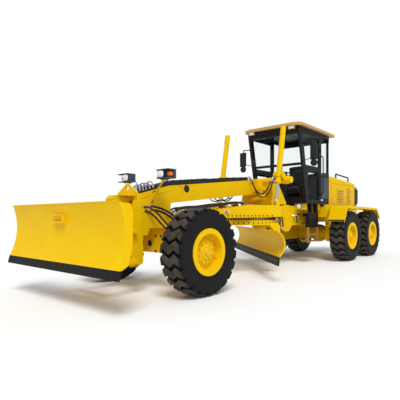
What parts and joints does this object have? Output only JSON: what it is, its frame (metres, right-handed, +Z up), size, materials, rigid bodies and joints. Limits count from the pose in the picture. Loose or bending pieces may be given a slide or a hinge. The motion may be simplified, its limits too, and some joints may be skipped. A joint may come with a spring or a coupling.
{
  "type": "motor grader",
  "caption": "Articulated motor grader with a long arched front frame, turntable blade, front dozer blade, high cab and tandem rear wheels.",
  "frame": {"origin": "bottom centre of the bounding box, on the ground midway between the front dozer edge and the rear guard", "axes": "+X to the front of the machine, +Y to its left, +Z up"},
  "size_m": [9.97, 3.03, 3.2512],
  "materials": {
    "yellow_paint": "gloss",
    "black_paint": "semi-gloss",
    "cream_paint": "gloss",
    "tan_paint": "satin",
    "edge_steel": "satin",
    "chrome_rod": "polished",
    "cast_engine": "rough",
    "tyre_rubber": "matt",
    "cab_glass": "clear",
    "dark_trim": "matt",
    "black_trim": "matt",
    "lamp_grey": "satin"
  },
  "bodies": {
    "rear_frame": {"rear_frame": "yellow_paint", "frame_rail_left": "yellow_paint", "frame_rail_right": "yellow_paint", "frame_crossmembers": "yellow_paint", "axle_hangers": "yellow_paint", "drive_axle": "yellow_paint", "fender_left": "yellow_paint", "fender_right": "yellow_paint", "hood": "yellow_paint", "engine_block": "cast_engine", "radiator_guard": "black_paint", "cab_shell": "black_paint", "cab_roof": "cream_paint", "cab_glass": "cab_glass", "cab_interior": "dark_trim", "side_steps": "black_paint", "side_ladders": "tan_paint"},
    "front_frame": {"front_frame": "yellow_paint", "beam_cover": "black_trim", "head_lamps": "lamp_grey", "front_axle": "yellow_paint"},
    "knuckle_left": {"knuckle_left": "yellow_paint"},
    "wheel_front_left": {"tyre_front_left": "tyre_rubber", "rim_front_left": "yellow_paint"},
    "wheel_mid_left": {"tyre_mid_left": "tyre_rubber", "rim_mid_left": "yellow_paint"},
    "wheel_rear_left": {"tyre_rear_left": "tyre_rubber", "rim_rear_left": "yellow_paint"},
    "knuckle_right": {"knuckle_right": "yellow_paint"},
    "wheel_front_right": {"tyre_front_right": "tyre_rubber", "rim_front_right": "yellow_paint"},
    "wheel_mid_right": {"tyre_mid_right": "tyre_rubber", "rim_mid_right": "yellow_paint"},
    "wheel_rear_right": {"tyre_rear_right": "tyre_rubber", "rim_rear_right": "yellow_paint"},
    "tie_rod": {"tie_rod": "yellow_paint"},
    "door_left": {"door_left": "black_paint", "door_glass_left": "cab_glass"},
    "hatch_left": {"hatch_left": "yellow_paint"},
    "door_right": {"door_right": "black_paint", "door_glass_right": "cab_glass"},
    "hatch_right": {"hatch_right": "yellow_paint"},
    "drawbar": {"drawbar": "yellow_paint"},
    "circle": {"circle": "yellow_paint"},
    "blade_bracket": {"blade_bracket": "yellow_paint"},
    "moldboard": {"moldboard": "yellow_paint", "cutting_edge": "edge_steel"},
    "lift_barrel_left": {"lift_barrel_left": "yellow_paint"},
    "lift_rod_left": {"lift_rod_left": "chrome_rod"},
    "lift_barrel_right": {"lift_barrel_right": "yellow_paint"},
    "lift_rod_right": {"lift_rod_right": "chrome_rod"},
    "shift_barrel": {"shift_barrel": "yellow_paint"},
    "shift_rod": {"shift_rod": "chrome_rod"},
    "dozer_arms": {"dozer_arms": "yellow_paint"},
    "dozer_links": {"dozer_links": "yellow_paint"},
    "dozer_barrel": {"dozer_barrel": "yellow_paint"},
    "dozer_rod": {"dozer_rod": "chrome_rod"},
    "dozer_blade": {"dozer_blade": "yellow_paint", "dozer_edge": "edge_steel"}
  },
  "joints": [
    {"name": "articulation", "type": "hinge", "parent": "rear_frame", "child": "front_frame", "pos_m": [-0.285, -0.105, 1.137], "axis": [0, 0, 1], "range_deg": [-25, 25]},
    {"name": "steer_left", "type": "hinge", "parent": "front_frame", "child": "knuckle_left", "pos_m": [3.365, 0.695, 0.632], "axis": [0, 0, 1], "range_deg": [-45, 45]},
    {"name": "roll_front_left", "type": "hinge", "parent": "knuckle_left", "child": "wheel_front_left", "pos_m": [3.365, 0.985, 0.632], "axis": [0, 1, 0], "continuous": true},
    {"name": "roll_mid_left", "type": "hinge", "parent": "rear_frame", "child": "wheel_mid_left", "pos_m": [-2.085, 0.985, 0.632], "axis": [0, 1, 0], "continuous": true},
    {"name": "roll_rear_left", "type": "hinge", "parent": "rear_frame", "child": "wheel_rear_left", "pos_m": [-3.625, 0.985, 0.632], "axis": [0, 1, 0], "continuous": true},
    {"name": "steer_right", "type": "hinge", "parent": "front_frame", "child": "knuckle_right", "pos_m": [3.365, -0.905, 0.632], "axis": [0, 0, 1], "range_deg": [-45, 45]},
    {"name": "roll_front_right", "type": "hinge", "parent": "knuckle_right", "child": "wheel_front_right", "pos_m": [3.365, -1.195, 0.632], "axis": [0, 1, 0], "continuous": true},
    {"name": "roll_mid_right", "type": "hinge", "parent": "rear_frame", "child": "wheel_mid_right", "pos_m": [-2.085, -1.195, 0.632], "axis": [0, 1, 0], "continuous": true},
    {"name": "roll_rear_right", "type": "hinge", "parent": "rear_frame", "child": "wheel_rear_right", "pos_m": [-3.625, -1.195, 0.632], "axis": [0, 1, 0], "continuous": true},
    {"name": "tie_rod_swing", "type": "hinge", "parent": "knuckle_left", "child": "tie_rod", "pos_m": [3.155, 0.695, 0.743], "axis": [0, 0, 1], "range_deg": [-45, 45]},
    {"name": "door_left_swing", "type": "hinge", "parent": "rear_frame", "child": "door_left", "pos_m": [-1.378, 0.619, 2.207], "axis": [0, 0, 1], "range_deg": [0, 100]},
    {"name": "hatch_left_swing", "type": "hinge", "parent": "rear_frame", "child": "hatch_left", "pos_m": [-2.422, 0.457, 1.737], "axis": [0, 0, -1], "range_deg": [0, 95]},
    {"name": "door_right_swing", "type": "hinge", "parent": "rear_frame", "child": "door_right", "pos_m": [-1.378, -0.829, 2.207], "axis": [0, 0, -1], "range_deg": [0, 100]},
    {"name": "hatch_right_swing", "type": "hinge", "parent": "rear_frame", "child": "hatch_right", "pos_m": [-2.422, -0.667, 1.737], "axis": [0, 0, 1], "range_deg": [0, 95]},
    {"name": "drawbar_lift", "type": "hinge", "parent": "front_frame", "child": "drawbar", "pos_m": [2.99, -0.105, 1.077], "axis": [0, 1, 0], "range_deg": [-8, 3]},
    {"name": "circle_turn", "type": "hinge", "parent": "drawbar", "child": "circle", "pos_m": [0.945, -0.105, 1.057], "axis": [0, 0, -1], "range_deg": [-91, 9]},
    {"name": "blade_tilt", "type": "hinge", "parent": "circle", "child": "blade_bracket", "pos_m": [0.5117, 0.27299, 0.427], "axis": [0.6574, 0.7536, 0], "range_deg": [-5, 30]},
    {"name": "blade_side_shift", "type": "slide", "parent": "blade_bracket", "child": "moldboard", "axis": [0.6574, 0.7536, 0], "range_m": [-0.45, 0.45]},
    {"name": "lift_barrel_left_swing", "type": "hinge", "parent": "front_frame", "child": "lift_barrel_left", "pos_m": [0.64, 0.64, 1.987], "axis": [0, 1, 0], "range_deg": [-2.68, 7.14]},
    {"name": "lift_rod_left_slide", "type": "slide", "parent": "lift_barrel_left", "child": "lift_rod_left", "axis": [0.1831, 0, -0.9831], "range_m": [-0.1175, 0.31333]},
    {"name": "lift_barrel_right_swing", "type": "hinge", "parent": "front_frame", "child": "lift_barrel_right", "pos_m": [0.64, -0.85, 1.987], "axis": [0, 1, 0], "range_deg": [-2.68, 7.14]},
    {"name": "lift_rod_right_slide", "type": "slide", "parent": "lift_barrel_right", "child": "lift_rod_right", "axis": [0.1831, 0, -0.9831], "range_m": [-0.1175, 0.31333]},
    {"name": "shift_barrel_swing", "type": "hinge", "parent": "front_frame", "child": "shift_barrel", "pos_m": [0.62, 0.225, 1.537], "axis": [1, 0, 0], "range_deg": [-9.05, 24.14]},
    {"name": "shift_rod_slide", "type": "slide", "parent": "shift_barrel", "child": "shift_rod", "axis": [0, -0.9884, -0.1516], "range_m": [-0.03702, 0.09873]},
    {"name": "dozer_lift", "type": "hinge", "parent": "front_frame", "child": "dozer_arms", "pos_m": [3.985, -0.105, 0.497], "axis": [0, -1, 0], "range_deg": [-40, 8]},
    {"name": "dozer_link_swing", "type": "hinge", "parent": "front_frame", "child": "dozer_links", "pos_m": [3.985, -0.105, 0.927], "axis": [0, -1, 0], "range_deg": [-40, 8]},
    {"name": "dozer_blade_level", "type": "hinge", "parent": "dozer_arms", "child": "dozer_blade", "pos_m": [4.685, -0.105, 0.517], "axis": [0, -1, 0], "range_deg": [-8, 40]},
    {"name": "dozer_barrel_swing", "type": "hinge", "parent": "front_frame", "child": "dozer_barrel", "pos_m": [4.1, -0.105, 1.387], "axis": [0, -1, 0], "range_deg": [-7.35, 1.47]},
    {"name": "dozer_rod_slide", "type": "slide", "parent": "dozer_barrel", "child": "dozer_rod", "axis": [0.3449, 0, -0.9386], "range_m": [-0.05433, 0.27166]}
  ],
  "couplings": [
    {"joint": "steer_right", "follows": "steer_left", "ratio": 1},
    {"joint": "tie_rod_swing", "follows": "steer_left", "ratio": -1},
    {"joint": "lift_barrel_left_swing", "follows": "drawbar_lift", "ratio": -0.85012},
    {"joint": "lift_rod_left_slide", "follows": "drawbar_lift", "m_per_rad": -2.2},
    {"joint": "lift_barrel_right_swing", "follows": "drawbar_lift", "ratio": -0.85012},
    {"joint": "lift_rod_right_slide", "follows": "drawbar_lift", "m_per_rad": -2.2},
    {"joint": "shift_barrel_swing", "follows": "drawbar_lift", "ratio": -2.874},
    {"joint": "shift_rod_slide", "follows": "drawbar_lift", "m_per_rad": -0.69325},
    {"joint": "dozer_link_swing", "follows": "dozer_lift", "ratio": 1},
    {"joint": "dozer_blade_level", "follows": "dozer_lift", "ratio": -1},
    {"joint": "dozer_barrel_swing", "follows": "dozer_lift", "ratio": 0.17502},
    {"joint": "dozer_rod_slide", "follows": "dozer_lift", "m_per_rad": -0.38149}
  ]
}
